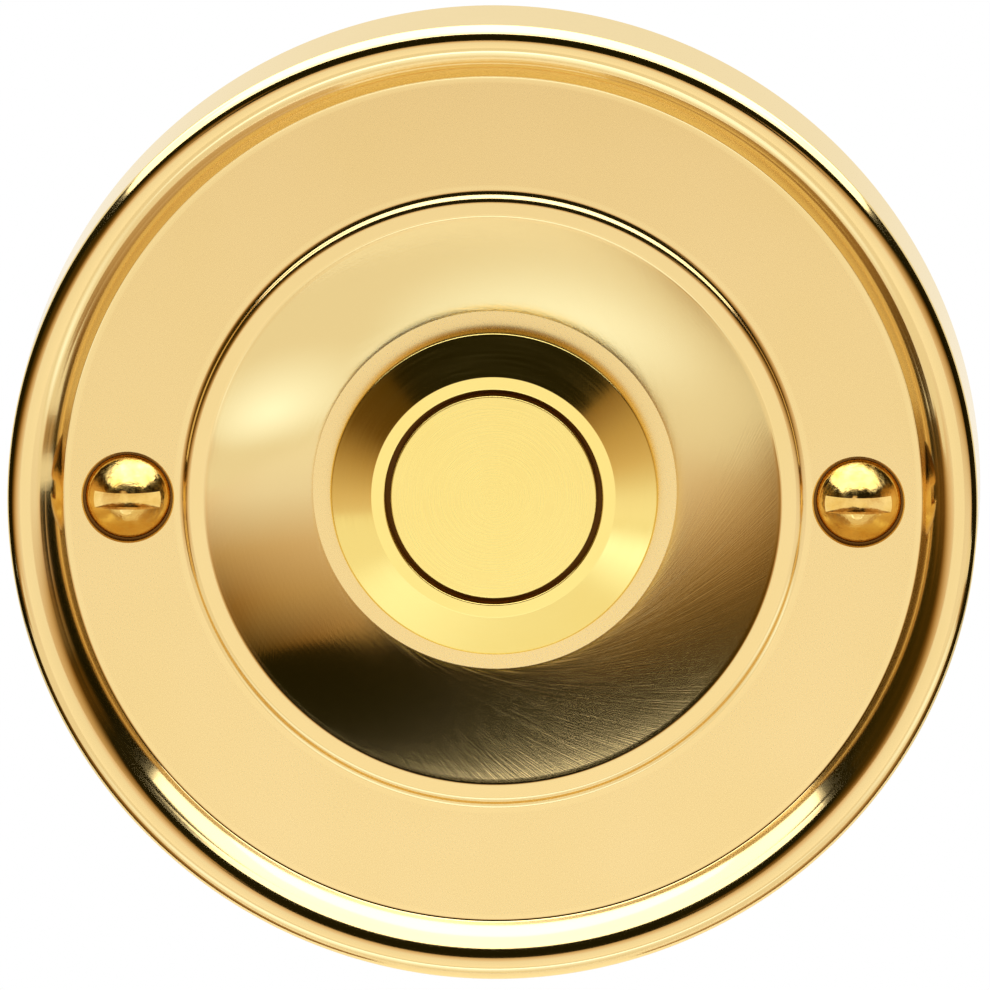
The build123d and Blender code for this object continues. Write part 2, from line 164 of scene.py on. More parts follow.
# Finishes. Grains, clouds, dents, wear and skin count to the metre, and the depths of bumps are in metres.
# Radii, heights and the depths of dirt are in millimetres.
NOISE = (0.3, 0.7)  # most of a noise lies between these
NOISE_CORE = (0.35, 0.65)
COARSE_DETAIL = 2.0
PLAIN_DETAIL = 3.0
FINE_DETAIL = 4.0
FINEST_DETAIL = 5.0

# Finish of the rose plate
PLATE_BRASS = (0.815, 0.61, 0.275)
PLATE_WARM = (0.8, 0.595, 0.255)
PLATE_EDGE = (1.0, 0.94, 0.74, 1.0)
PLATE_CLOUDS = 70.0
PLATE_ROUGH = (0.26, 0.28)
SATIN_GRAINS = 5200.0
SATIN_DEPTH = 0.000000025  # of a bump
POLISH_FADE = 0.1
BOWL_POLISHED = (SEAT_RADIUS + 0.1, BOWL_RADIUS - 0.3)
BOWL_BRASS = (0.8, 0.62, 0.285)
BOWL_ROUGH = (0.09, 0.23)  # at the left and at the right
STROKES = 160.0  # to a radian
STROKES_ACROSS = 300.0  # to the metre
STROKE_DEPTH = 0.00001  # of a bump
STROKE_RUN = 1.1  # distance from the seat in which the strokes turn outwards
STROKE_REACH = 10.0
STROKE_SWEEP = 0.48
BRUSHED_FROM = (-18.0, 8.0)  # where the hand polish is least and where it is full, from left to right
BRUSHED_LOW = (-10.0, 8.0)  # heights between which it fades upwards
BRUSHED_LEAST = 0.4
LIP_POLISHED = (BOWL_RADIUS - 0.3, LIP_RADIUS + 0.6)
LIP_ROUGH = 0.13
RIM_POLISHED = (FACE_RADIUS - 0.5, FACE_RADIUS - 0.3)
RIM_ROUGH = 0.1
RIM_LEAN = 0.165  # how far the polish eases the slope inside the rim
RIM_EASED = (34.0, 35.1, 35.45)  # foot of the slope, its top and the end of the easing
CAST_BRASS = (0.6, 0.43, 0.19)
CAST_FACING = (0.1, 0.4)  # how far a surface faces the wall where the casting begins and where it is full
CAST_ROUGH = 0.5
CAST_GRAINS = 900.0
CAST_DEPTH = 0.00005  # of a bump
# Painted shadow round the screw heads, at the bottom of their recesses
RECESS_PAINTED_SHADOW = (0.14, 0.06, 0.012)
RECESS_SHADOW_RADII = (RECESS_RADIUS + 0.01, RECESS_RADIUS + 0.04)
RECESS_SHADOW_DEPTHS = (0.5, 0.58)  # below the face

# Finish of the turned pieces
FERRULE_BRASS = (0.89, 0.705, 0.235)
FERRULE_WARM = (0.885, 0.685, 0.215)
FERRULE_ROUGH = 0.14
FERRULE_MARKS = 0.0000012  # depth of a bump
BUTTON_BRASS = (0.89, 0.705, 0.235)
BUTTON_WARM = (0.885, 0.69, 0.22)
BUTTON_ROUGH = 0.28
BUTTON_MARKS = 0.000001  # depth of a bump
NUT_BRASS = (0.75, 0.57, 0.27)
NUT_WARM = (0.66, 0.47, 0.2)
NUT_ROUGH = 0.3
NUT_MARKS = 0.000004  # depth of a bump
TURNED_EDGE = (1.0, 0.86, 0.45, 1.0)
TURNED_CLOUDS = 120.0
TURNED_VARIES = 0.03
MARKS_ALONG = 2.0  # to a radian
MARKS_ACROSS = 9000.0  # to the metre
# Painted shade on the walls of the gap round the button
GAP_PAINTED_SHADE = (0.08, 0.032, 0.006)
GAP_SHADE_DEPTHS = (0.9, 1.6)  # below the ferrule's ring
GAP_SHADE_FADE = (0.01, 0.02)  # distances outside the gap

# Finish of the fixing screws
SCREW_BRASS = (0.86, 0.6, 0.2)
SCREW_DEEP = (0.76, 0.47, 0.11)
# Painted shade: the half of each screw head that faces down gets this darker colour
SCREW_PAINTED_SHADE = (0.6, 0.33, 0.055)
SCREW_SHADE_FACING = (-0.55, 0.0)  # how far a surface faces up where the painted shade of the lower half is full and where it ends
SCREW_CLOUDS = 700.0
SCREW_ROUGH = (0.1, 0.26)
SCREW_DENTS = 1800.0
SCREW_DENT_DEPTH = 0.00003  # of a bump
SCREW_CROWN = 2.4  # wear has made the screws' heads steeper inside this radius and flatter outside it
SCREW_WEAR = 0.0108  # how strong that wear is

# Finishes of the hidden pieces: colour, darker colour and roughness
METALS = {
    "washer_steel": ((0.62, 0.61, 0.58), (0.45, 0.44, 0.42), 0.32),
    "spring_steel": ((0.55, 0.55, 0.54), (0.36, 0.36, 0.36), 0.28),
    "contact_strip": ((0.8, 0.55, 0.33), (0.62, 0.4, 0.22), 0.25),
    "contact_point": ((0.82, 0.82, 0.8), (0.7, 0.7, 0.68), 0.15),
    "terminal_steel": ((0.66, 0.65, 0.6), (0.5, 0.48, 0.44), 0.22),
}
METAL_WEAR = 1500.0
METAL_WEAR_DEPTH = 0.00001  # of a bump
METAL_VARIES = (-0.06, 0.08)
MOULDINGS = {
    "plunger_plastic": ((0.84, 0.83, 0.79), (0.78, 0.76, 0.7), 0.35),
    "guide_board": ((0.36, 0.2, 0.1), (0.24, 0.12, 0.06), 0.6),
    "base_plastic": ((0.05, 0.05, 0.05), (0.03, 0.028, 0.026), 0.45),
}
MOULDING_SKIN = 2500.0
MOULDING_CLOUDS = MOULDING_SKIN / 12
MOULDING_SKIN_DEPTH = 0.000015  # of a bump
MOULDING_VARIES = (-0.08, 0.08)

# Studio, in metres and degrees
FILL_LEVEL = 0.7
FLOOR_LEVEL = -0.3
FLOOR_RADIUS = 1.0
FLOOR_PALE = (0.82, 0.81, 0.79)
FLOOR_SHADE = (0.79, 0.78, 0.76)
FLOOR_ROUGH = 0.9
FLOOR_CLOUDS = 60.0
OVERHEAD_PLACE = (0.0, 0.155, 0.26)
OVERHEAD_SIZE = (0.83, 0.635)
OVERHEAD_RADIANCE = 2.6
PANEL_DISTANCE = 0.23
PANEL_SIDES = (-0.11, 0.1)
PANEL_LEVELS = ((-0.13, 1.28), (-0.01, 1.1), (0.02, 0.8), (0.055, 0.5))  # height and brightness
TABLE_LEVEL = -0.11
TABLE_SIDES = (-0.3, 0.45)
TABLE_ENDS = (-0.23, -0.045)
TABLE_STRENGTH = 3.6
TABLE_TONE = (0.287, 0.279, 0.264)
POOL_TONE = (0.55, 0.72, 1.0)
POOL_FADE = (0.1, 1.0)  # from its full middle to its edge
POOLS = (  # place, size and share
    ((-0.045, -0.105), (0.1, 0.05), 0.42),
    ((0.16, -0.135), (0.1, 0.07), 0.36),
    ((0.0, -0.132), (0.09, 0.022), 1.0),
)

# Browns of the flags: most red that is added, how fast it goes towards white, where it ends, where it starts,
# and how fast the blue falls
FLAG_RED = 0.19
FLAG_RED_FALL = 0.7
FLAG_RED_END = 1.05
FLAG_RED_START = 0.008
FLAG_BLUE_FALL = 0.7

# The dark room round the front: azimuth, lower and upper elevation, and brightness
DARK = 0.0106  # brightness of most of it
DARK_DISTANCE = 0.7
DARK_ROOM = (
    (-130, -22, 45, 0.02),
    (-95, -22, 45, 0.01),
    (-75, -8, 50, DARK),
    (-60, -2, 60, DARK),
    (-45, -2, 66, DARK),
    (-22, -2, 70, DARK),
    (0, -2, 72, DARK),
    (22, -2, 70, DARK),
    (45, -2, 66, DARK),
    (58, -2, 60, DARK),
    (66, -20, 54, DARK),
    (80, -22, 48, 0.008),
    (95, -22, 45, 0.01),
    (130, -22, 45, 0.02),
)

# Flags and shades beside the object: azimuth, then the brightness at each elevation
SIDE_DISTANCE = 0.28
SIDE_ELEVATIONS = (-76, -58, -44, -34, -27, -18)
SIDE_FLAG = (
    (64, 0.9, 0.9, 0.9, 0.9, 0.9, 0.85),
    (72, 0.65, 0.6, 0.52, 0.48, 0.42, 0.35),
    (82, 0.45, 0.4, 0.3, 0.12, 0.05, 0.03),
    (98, 0.3, 0.2, 0.12, 0.04, 0.01, 0.01),
    (118, 0.2, 0.1, 0.05, 0.02, 0.01, 0.01),
)
LEFT_SHARE = 0.55  # of the right flag's brightness
SHADE_DISTANCE = 0.5
RIGHT_ELEVATIONS = (-24, -11, 0, 10, 21)
RIGHT_SHADE = (
    (20, 1.15, 1.0, 0.75, 0.5, 0.3),
    (30, 1.15, 1.0, 0.66, 0.46, 0.28),
    (41, 1.15, 1.0, 0.61, 0.42, 0.12),
    (50, 1.15, 1.0, 0.55, 0.33, 0.06),
    (58, 1.1, 0.95, 0.47, 0.2, 0.03),
    (66, 1.0, 0.85, 0.36, 0.08, 0.02),
    (74, 0.4, 0.3, 0.1, 0.02, 0.01),
)
LEFT_ELEVATIONS = (-36, -11, 0, 10, 24)
LEFT_SHADE = (
    (-86, 0.05, 0.03, 0.02, 0.02, 0.01),
    (-76, 0.25, 0.1, 0.04, 0.03, 0.02),
    (-66, 0.65, 0.3, 0.08, 0.05, 0.03),
    (-56, 0.95, 0.52, 0.2, 0.05, 0.02),
    (-45, 1.05, 0.72, 0.38, 0.07, 0.03),
    (-30, 1.1, 0.95, 0.6, 0.25, 0.06),
    (-20, 1.1, 1.0, 0.7, 0.35, 0.06),
)


# Meshes


def in_metres(*sizes):
    """Sizes in millimetres as metres."""
    return tuple(size * MM for size in sizes)


def arc(centre, radius, start, end, step=ARC_STEP):
    """Points of an arc about a centre, from one angle to another."""
    count = max(2, math.ceil(abs(end - start) / step))
    angles = [start + (end - start) * i / count for i in range(count + 1)]
    return [(centre[0] + radius * math.cos(a), centre[1] + radius * math.sin(a)) for a in angles]


def rounded(corners):
    """A section line through corners (radius, height, round), each turned into an arc of its own round."""
    points = []
    for i, (r, h, size) in enumerate(corners):
        here = Vector((r, h))
        if size == 0 or i in (0, len(corners) - 1):
            points.append((r, h))
            continue
        back = (Vector(corners[i - 1][:2]) - here).normalized()
        ahead = (Vector(corners[i + 1][:2]) - here).normalized()
        half = back.angle(ahead) / 2
        centre = here + (back + ahead).normalized() * size / math.sin(half)
        start = here + back * size / math.tan(half) - centre
        end = here + ahead * size / math.tan(half) - centre
        first = math.atan2(start.y, start.x)
        turn = math.remainder(math.atan2(end.y, end.x) - first, math.tau)
        points += arc(centre, size, first, first + turn)
    return points


def held(points):
    """The section with extra points near the ends of each long stretch, which keep its shading flat."""
    result = []
    for start, end in zip(points, points[1:] + points[:1]):
        result.append(start)
        a, b = Vector(start), Vector(end)
        length = (b - a).length
        if length > 4 * HOLD:
            step = (b - a) / length * HOLD
            result += [tuple(a + step), tuple(b - step)]
    return result


def link(name, data):
    """An object for this data in the scene."""
    piece = bpy.data.objects.new(name, data)
    bpy.context.scene.collection.objects.link(piece)
    return piece


def to_object(name, mesh):
    """An object with this mesh in the scene."""
    data = bpy.data.meshes.new(name)
    mesh.to_mesh(data)
    mesh.free()
    return link(name, data)


def turned(name, section, x=0.0, segments=TURN_SEGMENTS, shape=None):
    """A mesh turned about the axis at x from a closed section. Points on the axis become poles.

    shape(radius, height, turn) may give another radius, for threads.
    """
    mesh = bmesh.new()
    rings = []
    for r, h in section:
        if r < TINY:
            rings.append([mesh.verts.new((x * MM, -h * MM, 0.0))])
            continue
        ring = []
        for i in range(segments):
            turn = math.tau * i / segments
            size = shape(r, h, turn) if shape else r
            place = (x + size * math.cos(turn), -h, size * math.sin(turn))
            ring.append(mesh.verts.new(Vector(place) * MM))
        rings.append(ring)
    for here, there in zip(rings, rings[1:] + rings[:1]):
        if len(here) == 1 and len(there) == 1:
            continue
        for i in range(segments):
            j = (i + 1) % segments
            near = [here[i % len(here)], here[j % len(here)]]
            far = [there[j % len(there)], there[i % len(there)]]
            mesh.faces.new(dict.fromkeys(near + far))
    bmesh.ops.recalc_face_normals(mesh, faces=mesh.faces)
    return to_object(name, mesh)


def smooth(piece):
    """Smooth shading, with the edges of sharp corners kept crisp."""
    piece.data.shade_smooth()
    piece.data.set_sharp_from_angle(angle=SHARP_ANGLE)


def cut(piece, *cutters):
    """Cuts the cutters out of the piece and removes them."""
    for cutter in cutters:
        change = piece.modifiers.new("cut", "BOOLEAN")
        change.operation = "DIFFERENCE"
        change.solver = "EXACT"
        change.object = cutter
    depsgraph = bpy.context.evaluated_depsgraph_get()
    data = bpy.data.meshes.new_from_object(piece.evaluated_get(depsgraph))
    piece.modifiers.clear()
    old = piece.data
    piece.data = data
    bpy.data.meshes.remove(old)
    data.name = piece.name
    for cutter in cutters:
        bpy.data.objects.remove(cutter)


# Shapes


def plate_section():
    """The rose plate's section: bead rim, sunk face, low lip, bowl, seat, and the hollow back."""
    lip_top = FACE_HEIGHT + LIP_HEIGHT
    seat_back = SEAT_HEIGHT - PLATE_WALL
    face_back = FACE_HEIGHT - PLATE_WALL
    crest = PLATE_RADIUS - BEAD_OUTER_ROUND
    rise = lip_top - SEAT_HEIGHT
    centre = (BOWL_RADIUS**2 + lip_top**2 - SEAT_RADIUS**2 - SEAT_HEIGHT**2) / (2 * rise)
    sphere = math.hypot(SEAT_RADIUS, centre - SEAT_HEIGHT)
    back_sphere = sphere + PLATE_WALL

    def sphere_angle(size, height):
        return -math.pi / 2 + math.acos((centre - height) / size)

    round_height = lip_top - BOWL_ROUND
    round_radius = math.sqrt((sphere + BOWL_ROUND) ** 2 - (centre - round_height) ** 2)
    bowl_start = math.atan2(round_height - centre, round_radius)
    outer_bead = arc((crest, RIM_HEIGHT - BEAD_OUTER_ROUND), BEAD_OUTER_ROUND, 0, math.pi / 2)
    inner_centre = (crest, RIM_HEIGHT - BEAD_INNER_ROUND)
    inner_bead = arc(inner_centre, BEAD_INNER_ROUND, math.pi / 2, math.pi - RIM_SLOPE)
    bead = outer_bead + inner_bead[1:]
    front = rounded(
        [
            (*bead[-1], 0),
            (FACE_RADIUS, FACE_HEIGHT, RIM_COVE),
            (LIP_RADIUS, FACE_HEIGHT, LIP_BLEND),
            (LIP_RADIUS - LIP_HEIGHT, lip_top, LIP_BLEND),
            (round_radius, lip_top, 0),
        ]
    )
    edge = arc((round_radius, round_height), BOWL_ROUND, math.pi / 2, bowl_start + math.pi)
    bowl = arc((0, centre), sphere, bowl_start, sphere_angle(sphere, SEAT_HEIGHT), BOWL_STEP)
    hole = [(PLATE_HOLE_RADIUS, SEAT_HEIGHT), (PLATE_HOLE_RADIUS, seat_back)]
    back_start = sphere_angle(back_sphere, seat_back)
    back = arc((0, centre), back_sphere, back_start, sphere_angle(back_sphere, face_back), BACK_STEP)
    hollow = rounded([(*back[-1], 0), (RIM_INNER_RADIUS, face_back, BACK_FILLET), (RIM_INNER_RADIUS, 0, 0)])
    return held([(PLATE_RADIUS, 0)] + bead + front[1:] + edge[1:] + bowl[1:] + hole + back + hollow[1:])


def make_plate():
    """The rose plate with its two screw recesses."""
    plate = turned("plate", plate_section())
    top = FACE_HEIGHT + RECESS_MARGIN
    recess = [
        (0, top),
        (RECESS_RADIUS + RECESS_CHAMFER + RECESS_MARGIN, top),
        (RECESS_RADIUS, FACE_HEIGHT - RECESS_CHAMFER),
        (RECESS_RADIUS, FACE_HEIGHT - RECESS_DEPTH),
        (FIXING_HOLE_RADIUS, FACE_HEIGHT - RECESS_DEPTH),
        (FIXING_HOLE_RADIUS, 0),
        (0, 0),
    ]
    cut(plate, *(turned("recess", recess, sign * FIXING_X, SMALL_SEGMENTS) for sign in (-1, 1)))
    smooth(plate)
    return plate


def barrel_thread(radius, height, turn):
    """The ferrule's barrel carries a fine thread between its relief and its end."""
    if radius < BARREL_RADIUS - TINY:
        return radius
    phase = (height / BARREL_PITCH - turn / math.tau) % 1.0
    groove = 1.0 - abs(2.0 * phase - 1.0)
    run = min(RELIEF_END - height, height - BARREL_END - BARREL_CHAMFER)
    fade = min(1.0, max(0.0, run / BARREL_PITCH))
    return radius - BARREL_THREAD_DEPTH * groove * fade


def make_ferrule():
    """The ferrule: flat top ring, bevelled flange and threaded barrel."""
    front = rounded(
        [
            (BORE_RADIUS, SHOULDER, 0),
            (BORE_RADIUS, BEZEL_TOP, FERRULE_EDGE),
            (BEZEL_RADIUS, BEZEL_TOP, FERRULE_EDGE),
            (FLANGE_RADIUS, BEVEL_FOOT, FLANGE_ROUND),
            (FLANGE_RADIUS, SEAT_HEIGHT, 0),
            (RELIEF_RADIUS, SEAT_HEIGHT, 0),
            (RELIEF_RADIUS, RELIEF_END, 0),
        ]
    )
    thread_end = BARREL_END + BARREL_CHAMFER
    rows = BARREL_ROWS * round((RELIEF_END - thread_end) / BARREL_PITCH)
    barrel = [(BARREL_RADIUS, RELIEF_END + (thread_end - RELIEF_END) * i / rows) for i in range(rows + 1)]
    inside = [
        (BARREL_RADIUS - BARREL_CHAMFER, BARREL_END),
        (REAR_RADIUS, BARREL_END),
        (REAR_RADIUS, RING_BACK),
        (RING_GROOVE_RADIUS, RING_BACK),
        (RING_GROOVE_RADIUS, RING_FRONT),
        (REAR_RADIUS, RING_FRONT),
        (REAR_RADIUS, GUIDE_FRONT),
        (CHAMBER_RADIUS, GUIDE_FRONT),
        (CHAMBER_RADIUS, SHOULDER),
    ]
    section = held(front + barrel + inside)
    ferrule = turned("ferrule_bush", section, segments=FERRULE_SEGMENTS, shape=barrel_thread)
    smooth(ferrule)
    return ferrule


def make_button():
    """The push button with its collar and stem."""
    section = rounded(
        [
            (0, BEZEL_TOP, 0),
            (BUTTON_RADIUS, BEZEL_TOP, BUTTON_EDGE),
            (BUTTON_RADIUS, SHOULDER, 0),
            (COLLAR_RADIUS, SHOULDER, 0),
            (COLLAR_RADIUS, BUTTON_BACK, 0),
            (STEM_RADIUS, BUTTON_BACK, 0),
            (STEM_RADIUS, STEM_END, 0),
            (0, STEM_END, 0),
        ]
    )
    button = turned("button_cap", held(section))
    smooth(button)
    return button


def screw_thread(radius, height, turn):
    """A wood screw's thin ridge winds round its tapering root."""
    if height > FIXING_NECK_END - TINY or radius < FIXING_TIP_RADIUS + TINY:
        return radius
    phase = (height / FIXING_PITCH - turn / math.tau) % 1.0
    ridge = max(0.0, 1.0 - abs(phase - 0.5) / FIXING_RIDGE)
    start = min(1.0, (FIXING_NECK_END - height) / FIXING_PITCH)
    taper = min(1.0, (height - FIXING_TIP) / (FIXING_THREAD_END - FIXING_TIP))
    root = FIXING_TIP_RADIUS + (FIXING_ROOT_RADIUS - FIXING_TIP_RADIUS) * taper
    crest = FIXING_TIP_RADIUS + (FIXING_CREST_RADIUS - FIXING_TIP_RADIUS) * math.sqrt(taper)
    return root + (crest - root) * ridge * start


def driver_dent(x, top, z, depth):
    """A ball that scoops a slipped driver's dent out of a screw head."""
    ball = bmesh.new()
    bmesh.ops.create_icosphere(ball, subdivisions=DENT_FINENESS, radius=DENT_ROUND * MM)
    place = Vector((x, -(top - z**2 / (2 * FIXING_HEAD_RADIUS) + DENT_ROUND - depth), z)) * MM
    bmesh.ops.translate(ball, vec=place, verts=ball.verts)
    return to_object("dent", ball)


def driver_slot(x, top):
    """A box as wide as the slot of a screw head, across the whole head."""
    box = bmesh.new()
    bmesh.ops.create_cube(box, size=1.0)
    size = in_metres(2 * FIXING_HEAD_RADIUS, 2 * FIXING_SLOT_DEPTH, FIXING_SLOT_WIDTH)
    place = Matrix.Translation(Vector((x, -top, 0)) * MM)
    bmesh.ops.transform(box, matrix=place @ Matrix.Diagonal((*size, 1.0)), verts=box.verts)
    return to_object("slot", box)


def make_fixing_screw(side, sign):
    """A slotted round-head wood screw."""
    sphere = (FIXING_HEAD_RADIUS**2 + FIXING_HEAD_HEIGHT**2) / (2 * FIXING_HEAD_HEIGHT)
    top = FIXING_SEAT + FIXING_HEAD_HEIGHT
    centre = top - sphere
    rim = math.asin((FIXING_SEAT - centre) / sphere)
    dome = arc((0, centre), sphere, math.pi / 2, rim)
    dome[0] = (0, dome[0][1])
    neck = [(FIXING_SHANK_RADIUS, FIXING_SEAT), (FIXING_SHANK_RADIUS, FIXING_NECK_END)]
    rows = FIXING_ROWS * round((FIXING_NECK_END - FIXING_TIP) / FIXING_PITCH)
    step = (FIXING_NECK_END - FIXING_TIP) / rows
    thread = [(FIXING_ROOT_RADIUS, FIXING_NECK_END - step * i) for i in range(rows)]
    tip = [(FIXING_TIP_RADIUS, FIXING_TIP), (0, FIXING_TIP)]
    section = held(dome + neck)[:-2] + thread + tip
    x = sign * FIXING_X
    screw = turned(f"fixing_{side}", section, x, SMALL_SEGMENTS, screw_thread)
    cut(screw, driver_slot(x, top), *(driver_dent(x + across, top, up, depth) for across, up, depth in DENTS))
    smooth(screw)
    return screw


def make_spring():
    """The coil spring behind the button, its round wire swept along the helix."""
    start = BUTTON_BACK - SPRING_WIRE / 2 - SPRING_CLEARANCE
    end = GUIDE_FRONT + SPRING_WIRE / 2 + SPRING_CLEARANCE
    steps = SPRING_TURNS * SPRING_STEPS
    mesh = bmesh.new()
    loops = []
    for i in range(steps + 1):
        turn = math.tau * SPRING_TURNS * i / steps
        out = Vector((math.cos(turn), 0.0, math.sin(turn)))
        middle = out * SPRING_RADIUS - FORWARD_AXIS * (start + (end - start) * i / steps)
        loop = []
        for j in range(WIRE_SIDES):
            side = math.tau * j / WIRE_SIDES
            rim = (out * math.cos(side) + FORWARD_AXIS * math.sin(side)) * SPRING_WIRE / 2
            loop.append(mesh.verts.new((middle + rim) * MM))
        loops.append(loop)
    for here, there in zip(loops, loops[1:]):
        for j in range(WIRE_SIDES):
            k = (j + 1) % WIRE_SIDES
            mesh.faces.new((here[j], here[k], there[k], there[j]))
    mesh.faces.new(loops[0])
    mesh.faces.new(loops[-1])
    bmesh.ops.recalc_face_normals(mesh, faces=mesh.faces)
    spring = to_object("coil_spring", mesh)
    smooth(spring)
    return spring


# Steps of a finish


def add(tree, kind, inputs=(), **settings):
    """A new node with these settings. An input is a value or the output that feeds it."""
    node = tree.nodes.new(kind)
    for name, value in settings.items():
        setattr(node, name, value)
    for name, value in dict(inputs).items():
        if isinstance(value, bpy.types.NodeSocket):
            tree.links.new(value, node.inputs[name])
        else:
            node.inputs[name].default_value = value
    return node


def new_finish(name, **values):
    """A material, its node tree, its shader with these constant values, and the object's coordinates."""
    material = bpy.data.materials.new(name)
    material.use_nodes = True
    tree = material.node_tree
    shader = tree.nodes["Principled BSDF"]
    for socket, value in values.items():
        shader.inputs[socket.replace("_", " ")].default_value = value
    place = add(tree, "ShaderNodeTexCoord").outputs["Object"]
    return material, tree, shader, place


def grain(tree, place, scale, detail=PLAIN_DETAIL):
    """Even noise, from 0 to 1, with about this many grains to the metre."""
    inputs = {"Vector": place, "Scale": scale, "Detail": detail}
    return add(tree, "ShaderNodeTexNoise", inputs).outputs["Fac"]


def maths(tree, operation, first, second=0.0):
    """One arithmetic step on two numbers."""
    return add(tree, "ShaderNodeMath", {0: first, 1: second}, operation=operation).outputs[0]


def times(tree, first, second):
    """The product of two numbers."""
    return maths(tree, "MULTIPLY", first, second)


def vectors(tree, operation, inputs):
    """The outputs of one arithmetic step on vectors."""
    return add(tree, "ShaderNodeVectorMath", inputs, operation=operation).outputs


def parts_of(tree, vector):
    """The X, Y and Z of a vector."""
    return add(tree, "ShaderNodeSeparateXYZ", {0: vector}).outputs


def spread(tree, value, low, high, start=0.0, end=1.0, kind="LINEAR"):
    """A value mapped from start..end to low..high, and kept in that range."""
    inputs = {"Value": value, "From Min": start, "From Max": end, "To Min": low, "To Max": high}
    return add(tree, "ShaderNodeMapRange", inputs, interpolation_type=kind).outputs["Result"]


def blend_colours(tree, share, first, second):
    """A colour between two, by share."""
    node = add(tree, "ShaderNodeMix", data_type="RGBA")
    tree.links.new(share, node.inputs["Factor"])
    for socket, colour in (("A", first), ("B", second)):
        target = next(i for i in node.inputs if i.name == socket and i.type == "RGBA")
        if isinstance(colour, bpy.types.NodeSocket):
            tree.links.new(colour, target)
        else:
            target.default_value = (*colour, 1.0)
    return next(o for o in node.outputs if o.type == "RGBA")


def blend_values(tree, share, first, second):
    """A number between two, by share."""
    return add(tree, "ShaderNodeMix", {"Factor": share, "A": first, "B": second}).outputs["Result"]


def mottle(tree, noise, span, first, second):
    """A colour that a noise moves between two, over this span of the noise."""
    return blend_colours(tree, spread(tree, noise, 0.0, 1.0, *span), first, second)


def raise_surface(tree, shader, height, depth=1.0):
    """Bump from a height, this deep in metres for each 1 of it."""
    bump = add(tree, "ShaderNodeBump", {"Height": height, "Distance": depth, "Strength": 1.0})
    tree.links.new(bump.outputs["Normal"], shader.inputs["Normal"])


def about_axis(tree, place):
    """The direction from the turning axis, and the distance from it."""
    flat = vectors(tree, "MULTIPLY", {0: place, 1: (1.0, 0.0, 1.0)})["Vector"]
    return vectors(tree, "NORMALIZE", {0: flat})["Vector"], vectors(tree, "LENGTH", {0: flat})["Value"]


def about_screw(tree, place):
    """The distance from the nearer screw's axis."""
    parts = parts_of(tree, place)
    across = maths(tree, "SUBTRACT", maths(tree, "ABSOLUTE", parts["X"]), FIXING_X * MM)
    flat = add(tree, "ShaderNodeCombineXYZ", {"X": across, "Z": parts["Z"]}).outputs["Vector"]
    return vectors(tree, "LENGTH", {0: flat})["Value"]


def ring_noise(tree, out, along, lift, detail):
    """Noise that changes `along` times to a radian of the direction, and with the lift."""
    ring = vectors(tree, "SCALE", {0: out, "Scale": along})["Vector"]
    step = add(tree, "ShaderNodeCombineXYZ", {"Y": lift}).outputs["Vector"]
    return grain(tree, vectors(tree, "ADD", {0: ring, 1: step})["Vector"], 1.0, detail)


def lathe_marks(tree, place):
    """Noise that runs in rings round the axis, as a lathe leaves it."""
    out, radius = about_axis(tree, place)
    lift = times(tree, maths(tree, "SUBTRACT", radius, parts_of(tree, place)["Y"]), MARKS_ACROSS)
    return ring_noise(tree, out, MARKS_ALONG, lift, COARSE_DETAIL)


def swirl_marks(tree, place):
    """Noise in strokes that leave the seat along the ring and fan outwards, as a hand polishes a bowl."""
    out, radius = about_axis(tree, place)
    reach = maths(tree, "MAXIMUM", maths(tree, "SUBTRACT", radius, SEAT_RADIUS * MM), 0.0)
    run = spread(tree, reach, 1.0, 1.0 + STROKE_REACH / STROKE_RUN, 0.0, STROKE_REACH * MM)
    turn = times(tree, maths(tree, "LOGARITHM", run, math.e), STROKE_SWEEP)
    swirl = add(tree, "ShaderNodeVectorRotate", {"Vector": out, "Angle": turn}, rotation_type="Y_AXIS")
    lift = times(tree, radius, STROKES_ACROSS)
    return ring_noise(tree, swirl.outputs["Vector"], STROKES, lift, PLAIN_DETAIL)


def ring_mask(tree, radius, inner, outer):
    """1 between two radii and 0 outside them."""
    inside = spread(tree, radius, 0.0, 1.0, *in_metres(inner - POLISH_FADE, inner + POLISH_FADE))
    outside = spread(tree, radius, 1.0, 0.0, *in_metres(outer - POLISH_FADE, outer + POLISH_FADE))
    return times(tree, inside, outside)


def below(tree, place, height, depths):
    """0 down to the first depth below a height, and 1 from the second."""
    depth = parts_of(tree, place)["Y"]
    return spread(tree, depth, 0.0, 1.0, *in_metres(*(d - height for d in depths)))


def recess_shadow(tree, place):
    """1 in the screws' recesses, below their mouths, where a painted shadow darkens the colour, and 0
    elsewhere.
    """
    near = spread(tree, about_screw(tree, place), 1.0, 0.0, *in_metres(*RECESS_SHADOW_RADII))
    return times(tree, near, below(tree, place, FACE_HEIGHT, RECESS_SHADOW_DEPTHS))


def gap_shade(tree, place):
    """1 on the walls of the gap round the button, where painted shade darkens the colour, and 0 elsewhere."""
    radius = about_axis(tree, place)[1]
    near, far = GAP_SHADE_FADE
    outer = spread(tree, radius, 1.0, 0.0, *in_metres(BORE_RADIUS + near, BORE_RADIUS + far))
    inner = spread(tree, radius, 0.0, 1.0, *in_metres(BUTTON_RADIUS - far, BUTTON_RADIUS - near))
    return times(tree, below(tree, place, BEZEL_TOP, GAP_SHADE_DEPTHS), times(tree, inner, outer))


def eased_slope(tree, radius):
    """How much polish has worn off the slope inside the rim, most at its top, in metres."""
    foot, top, end = RIM_EASED
    up = maths(tree, "POWER", spread(tree, radius, 0.0, 1.0, *in_metres(foot, top)), 2.0)
    down = maths(tree, "POWER", spread(tree, radius, 1.0, 0.0, *in_metres(top, end)), 2.0)
    rise = times(tree, up, RIM_LEAN * MM)
    fall = times(tree, down, RIM_LEAN * MM * (end - top) / (top - foot))
    return maths(tree, "SUBTRACT", rise, fall)


